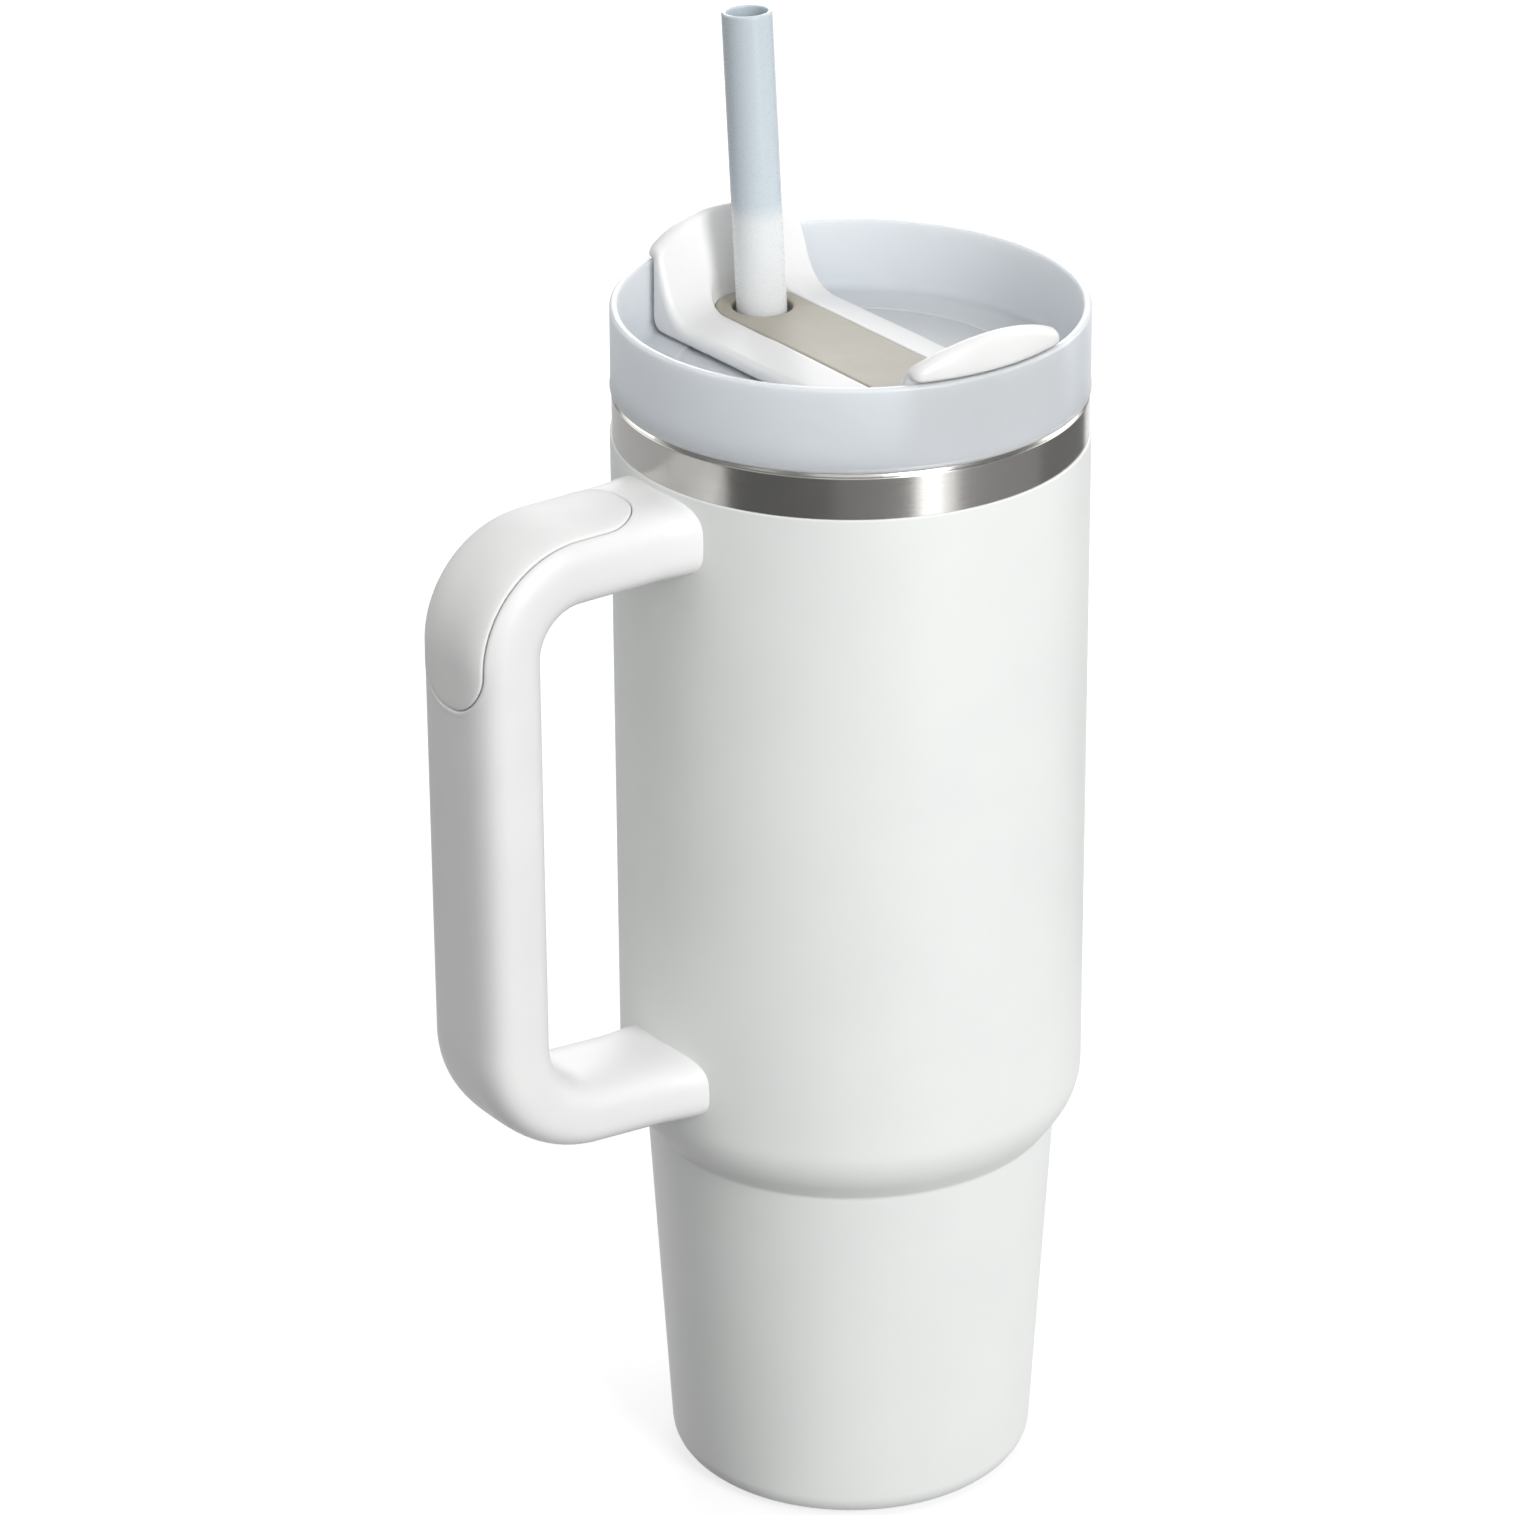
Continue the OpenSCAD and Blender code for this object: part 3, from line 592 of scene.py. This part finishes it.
def slot_plan():
    """Outline of the sip opening: an arc round the pivot with round ends, wide enough for the straw."""
    steps, end_steps = 24, 16
    loop = []
    for side in (1, -1):
        edge = SLOT_R + side * SLOT_HALF
        for k in range(steps + 1):
            a = -math.pi / 2 + side * (2 * SLOT_REACH * k / steps - SLOT_REACH)
            loop.append((edge * math.cos(a), edge * math.sin(a)))
        end = -math.pi / 2 + side * SLOT_REACH
        for k in range(1, end_steps):
            a = end + (0 if side > 0 else math.pi) + math.pi * k / end_steps
            loop.append((SLOT_R * math.cos(end) + SLOT_HALF * math.cos(a),
                         SLOT_R * math.sin(end) + SLOT_HALF * math.sin(a)))
    return loop


def build_lid():
    outline = [
        (0, DECK_UNDER - HUB_DEPTH, 0), (HUB_END_R, DECK_UNDER - HUB_DEPTH, 0.4), (HUB_R, DECK_UNDER, 0.6),
        (SKIRT_IN, DECK_UNDER, 1), (SKIRT_IN, SKIRT_END, 0.5), (SKIRT_R, SKIRT_END, 0.7),
        (SKIRT_R, GROOVE_Z[0], 0.1),
        (GROOVE_R, GROOVE_Z[0], 0.1), (GROOVE_R, GROOVE_Z[1], 0.1), (SKIRT_R, GROOVE_Z[1], 0.1),
        (SKIRT_R, LID_UNDER, 0.1), (LID_R + 0.05, LID_UNDER, 0.2), (LIP_R, LID_UNDER + 0.45, 0.25),
        (LID_R + 0.05, LID_UNDER + 1.0, 0.3), (LID_R, RIM_Z, 0.75), (WELL_R + 0.1, RIM_Z, 0.6),
        (WELL_R - 0.2, DECK_Z, 2.4), (DISC_R, DECK_Z, 0.15), (DISC_R - 0.3, DECK_Z - DISC_DROP, 0.15),
        (0, DECK_Z - DISC_DROP, 0)]
    verts, faces = lathe(rounded(outline, steps=8))
    lid = make("lid_cup", verts, faces, "lid", ["lid_body"], "lid_plastic")
    paint(frosted, lid)
    loop = slot_plan()
    n = len(loop)
    points = [(x, y, z) for z in (DECK_UNDER - SLOT_MARGIN, DECK_Z + SLOT_MARGIN) for x, y in loop]
    sides = [[k, (k + 1) % n, n + (k + 1) % n, n + k] for k in range(n)]
    cutter = make("slot_cutter", points, sides + [list(range(n)), [n + k for k in range(n)]], "lid")
    cut = lid.modifiers.new("slot", "BOOLEAN")
    cut.operation, cut.solver, cut.object = "DIFFERENCE", "EXACT", cutter
    bpy.context.view_layer.update()
    cut_mesh = bpy.data.meshes.new_from_object(lid.evaluated_get(bpy.context.evaluated_depsgraph_get()))
    lid.modifiers.clear()
    lid.data = cut_mesh
    bpy.data.objects.remove(cutter)


build_lid()


# ---------------------------------------------------------------- rotating cover

CROWN_R = 38.0                              # of the ears' tops, seen from the straw
EAR_TURN, EAR_LEAN, NICHE_LEAN = math.radians(1.3), math.radians(21), math.radians(14)
EAR_Y, EAR_BOW, EAR_LEVEL = 38.0, 0.0042, 256.0     # the ears' inner faces: place, bow and height of it
LAP_DRAFT = 1.9                             # the ears' outer faces lean in by this much at their tops
BAR_CHAMFER = 1.5                           # the bar's top falls by this much from insert to side
STRAW_SIDE = STRAW_Y + 0.2                  # middle of the insert's round end and of the niche
PIVOT_R, PIVOT_TOP = 5.7, 251.2             # recesses under the bar: for the pivot, and for the sip pad
PAD_HALF, PAD_OUT, PAD_IN, PAD_TOP = 17.1, 40.1, 7.9, 251.35


def pill_end(x, y, half):
    """Plan of the insert: round at the straw end, straight sides, an arc at the other end."""
    back = np.hypot(x, np.minimum(y + STRAW_SIDE, 0)) - half
    front = np.hypot(x, np.maximum(y, 0)) - (INSERT_FRONT + half - INSERT_HALF)
    return np.maximum(back, front)


def cover_field(x, y, z):
    """Distance field of the bar with its two ears, less its pockets."""
    r = np.hypot(x, y)
    turned = x * math.cos(EAR_TURN) + y * math.sin(EAR_TURN)
    ax, ay = np.abs(turned), np.abs(y * math.cos(EAR_TURN) - x * math.sin(EAR_TURN))
    # the bar, and the ears that rise from it on a wide fillet
    slope = np.maximum(np.abs(x) - INSERT_HALF + 0.4, 0) / (BAR_HALF - INSERT_HALF)
    bar = z - (INSERT_Z + 0.1 - BAR_CHAMFER * slope)
    inner = (EAR_Y - EAR_BOW * ax ** 2 + math.tan(EAR_LEAN) * (z - EAR_LEVEL) - ay) * math.cos(EAR_LEAN)
    crown = z - (EAR_TOP - CROWN_R + np.sqrt(np.maximum(CROWN_R ** 2 - ax ** 2, 1)))
    solid = soft_min(bar, soft_max(inner, crown, 2.0), 7.0)
    # outer side: inside the well below the rim, and lapping over it above
    shell_out = LAP_R - LAP_DRAFT * np.clip((z - LAP_Z) / (EAR_TOP - LAP_Z), 0, 1.5) ** 2
    lap = soft_max(r - shell_out, LAP_Z - z, 0.7)
    round_in = r - (COVER_R - 1.6 * np.clip((BAR_UNDER + 3 - z) / 3, 0, 1) ** 2)
    solid = soft_max(solid, np.minimum(round_in, lap), 1.8)
    side = ax - (BAR_HALF - 0.1 - 0.4 * np.clip((z - BAR_UNDER) / (EAR_TOP - BAR_UNDER), 0, 1))
    solid = soft_max(solid, side, 1.9)
    solid = soft_max(solid, BAR_UNDER - z, 1.0)
    # pocket of the insert
    pocket = np.maximum(pill_end(x, y, INSERT_HALF + 0.12), POCKET_Z - z)
    pocket = np.maximum(pocket, z - (INSERT_Z + 2.4))
    solid = soft_max(solid, -pocket, 0.25)
    # niche behind the straw, a leaning half cylinder
    along = (z - INSERT_Z) * math.cos(NICHE_LEAN) - (y + STRAW_SIDE) * math.sin(NICHE_LEAN)
    across = (y + STRAW_SIDE) * math.cos(NICHE_LEAN) + (z - INSERT_Z) * math.sin(NICHE_LEAN)
    niche = np.hypot(x, np.minimum(across, 0)) - INSERT_HALF
    niche = soft_max(np.maximum(niche, y + 5), INSERT_Z + 0.6 - z, 1.0)
    niche = np.maximum(niche, -3 - along)
    solid = soft_max(solid, -niche, 1.6)
    # the straw's hole and the recesses under the bar
    hole = np.hypot(x, y - HOLE_Y) - HOLE_R
    pivot = np.maximum(r - PIVOT_R, PIVOT_TOP - z)
    pad = np.maximum(np.maximum(np.abs(x) - PAD_HALF, r - PAD_OUT), np.maximum(z - PAD_TOP, PAD_IN - r))
    for gap in (hole, pad, pivot):
        solid = np.maximum(solid, -gap)
    return solid


def insert_field(x, y, z):
    """Distance field of the insert, with the straw's hole."""
    hole = np.hypot(x, y - HOLE_Y) - HOLE_R
    plan = np.maximum(pill_end(x, y, INSERT_HALF), -hole)
    return soft_max(soft_max(plan, z - INSERT_Z, 0.5), POCKET_Z - z, 0.2)


def build_cover():
    low = (-BAR_HALF - 1.3, -LAP_R - 1.3, BAR_UNDER - 1.1)
    high = (BAR_HALF + 1.3, LAP_R + 1.3, EAR_TOP + 1.1)
    step = 0.42
    cover = make("cover_bar_and_ears", *surface_net(cover_field, low, high, step), "cover",
                 ["rotating_cover"], "cover_plastic", sharp=60)
    paint(cover_white, cover)
    low = (-INSERT_HALF - 0.8, -STRAW_Y - INSERT_HALF - 1, POCKET_Z - 0.6)
    high = (INSERT_HALF + 0.8, INSERT_FRONT + 0.9, INSERT_Z + 0.6)
    strip = make("insert_strip", *surface_net(insert_field, low, high, 0.3), "cover",
                 ["cover_insert"], "insert_plastic", sharp=50)
    paint(taupe, strip)


build_cover()


# ---------------------------------------------------------------- straw

STRAW_STEPS = 96
BEAD, BEAD_R = 25.0, 6.6                    # stop bead: its place from the lower end, and its radius


def build_straw():
    length = (STRAW_TOP - STRAW_LOW) / math.cos(STRAW_LEAN)
    outline = [(STRAW_R - STRAW_WALL, 0, 0.35), (STRAW_R, 0, 0.35), (STRAW_R, BEAD - 1, 0.5),
               (BEAD_R, BEAD, 0.5), (BEAD_R, BEAD + 1.5, 0.5), (STRAW_R, BEAD + 2.5, 0.5),
               (STRAW_R, length, 0.45), (STRAW_R - STRAW_WALL, length, 0.35)]
    verts, faces = lathe(rounded(outline, steps=6), STRAW_STEPS)
    place = (Matrix.Translation((0, -STRAW_Y, INSERT_Z)) @ Matrix.Rotation(STRAW_LEAN, 4, "X")
             @ Matrix.Translation((0, 0, -(INSERT_Z - STRAW_LOW) / math.cos(STRAW_LEAN))))
    tube = make("straw_tube", [place @ Vector(v) for v in verts], faces, "straw", ["straw"], "straw_plastic")
    paint(milky, tube)


build_straw()


# ---------------------------------------------------------------- carried-over CAD nodes

NODE_FINISH = {
    "inner_liner": brushed, "shell_bottom": bare_steel, "port_seal": glassy, "getter": sintered,
    "getter_clip": bare_steel, "base_cover": bare_steel, "upper_handle_bracket": bare_steel,
    "lower_handle_bracket": bare_steel, "upper_handle_screw": bare_steel, "lower_handle_screw": bare_steel,
    "lower_screw_plug": handle_white, "lid_gasket": silicone, "pivot_o_ring": silicone,
    "cover_seal": silicone, "pivot_pin": bare_steel, "pivot_retainer": bare_steel}
for node, look in NODE_FINISH.items():
    paint(look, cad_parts[node])


# ---------------------------------------------------------------- floor, light and camera

def stage_sheet(name, points, faces, material, floor=True):
    """Flat sheet that isn't part of the object; unless it is the floor, only reflections see it."""
    mesh = bpy.data.meshes.new(name)
    mesh.from_pydata(points, [], faces)
    sheet = bpy.data.objects.new(name, mesh)
    bpy.context.scene.collection.objects.link(sheet)
    mesh.materials.append(material)
    if not floor:
        sheet.visible_camera = sheet.visible_diffuse = sheet.visible_shadow = False
        sheet.visible_transmission = False
    return sheet


FLOOR = 6.0
floor_paint = finish("floor_paint", (0.34, 0.34, 0.34), (0.36, 0.36, 0.36), 3, (0.8, 0.9), 400, 0.02,
                     Emission_Color=(1, 1, 1, 1), Emission_Strength=0.68)
floor = stage_sheet("floor", [(-FLOOR, -FLOOR, 0), (FLOOR, -FLOOR, 0), (FLOOR, FLOOR, 0), (-FLOOR, FLOOR, 0)],
                    [[0, 1, 2, 3]], floor_paint)
floor.visible_diffuse = False

VIEW_AZIMUTH = math.radians(143.5)
VIEW_RISE = math.radians(25.12)
VIEW_DISTANCE = 1.3146
AIM = Vector((0, 0, 0.1626))
BACK = Vector((math.sin(VIEW_AZIMUTH) * math.cos(VIEW_RISE), -math.cos(VIEW_AZIMUTH) * math.cos(VIEW_RISE),
               math.sin(VIEW_RISE)))
FACING = math.atan2(BACK.y, BACK.x)


CARD_Z, CARD_STEPS = 0.002, 12


def card(name, start, end, grey, glow=0.0, near=0.25, far=1.6, height=CARD_Z):
    """Flat studio card on the floor; start and end are degrees from the camera, near and far its radii."""
    steps, points = CARD_STEPS, []
    for k in range(steps + 1):
        a = FACING + math.radians(start + (end - start) * k / steps)
        points += [(radius * math.cos(a), radius * math.sin(a), height) for radius in (near, far)]
    faces = [[2 * k, 2 * k + 1, 2 * k + 3, 2 * k + 2] for k in range(steps)]
    look = finish(name + "_paint", (grey,) * 3, (grey * 1.1,) * 3, 20, (0.8, 0.9), 400, 0.02,
                  Emission_Color=(1, 1, 1, 1), Emission_Strength=glow)
    return stage_sheet(name, points, faces, look, floor=False)


card("card_front", -60, -8, 0.09)
card("card_middle", -8, 30, 0.15)
card("card_streak", 32, 43, 0.9, glow=0.9)
card("card_side", 50, 100, 0.22)
card("card_back", 100, 150, 0.12)
card("card_left", -165, -60, 0.48)
# a dark card under the floor, which only takes light away from the left of the base
shade = card("card_shade", -165, -30, 0.03, near=0.04, far=0.17, height=-CARD_Z)
shade.visible_diffuse, shade.visible_glossy = True, False


LIGHT_AIM_Z, LIGHT_DISTANCE = 0.15, 2.0
SMALL_BOX, LARGE_BOX = (0.7, 1.4), (1.2, 1.3)


def light(name, azimuth, rise, size, power):
    """Soft box; azimuth in degrees from the camera, to the right seen from it."""
    lamp = bpy.data.lights.new(name, "AREA")
    lamp.shape, lamp.size, lamp.size_y = "RECTANGLE", size[0], size[1]
    lamp.energy = power
    obj = bpy.data.objects.new(name, lamp)
    a, e = FACING + math.radians(azimuth), math.radians(rise)
    aim = Vector((0, 0, LIGHT_AIM_Z))
    way = Vector((math.cos(a) * math.cos(e), math.sin(a) * math.cos(e), math.sin(e)))
    obj.location = aim + way * LIGHT_DISTANCE
    obj.rotation_mode = "QUATERNION"
    obj.rotation_quaternion = way.to_track_quat("Z", "Y")
    bpy.context.scene.collection.objects.link(obj)


light("key", 35, 25, SMALL_BOX, 30.4)
light("front_fill", 0, 25, LARGE_BOX, 4.7)
light("side_fill", 120, 25, LARGE_BOX, 12.8)
light("back", 180, 25, LARGE_BOX, 17.0)
light("left_fill", -120, 25, LARGE_BOX, 8.8)
light("left_high", -60, 55, LARGE_BOX, 3.8)
light("top", 10, 82, LARGE_BOX, 4.8)

world = bpy.data.worlds.new("studio")
world.use_nodes = True
world.node_tree.nodes["Background"].inputs["Color"].default_value = (1, 1, 1, 1)
world.node_tree.nodes["Background"].inputs["Strength"].default_value = 0.245
bpy.context.scene.world = world
bpy.context.scene.view_settings.view_transform = "Standard"

camera = bpy.data.cameras.new("camera")
camera.sensor_width = 36
camera.lens = 148.9
camera.shift_x = -0.0615
camera_obj = bpy.data.objects.new("camera", camera)
camera_obj.location = AIM + BACK * VIEW_DISTANCE
camera_obj.rotation_mode = "QUATERNION"
camera_obj.rotation_quaternion = BACK.to_track_quat("Z", "Y")
bpy.context.scene.collection.objects.link(camera_obj)
bpy.context.scene.camera = camera_obj
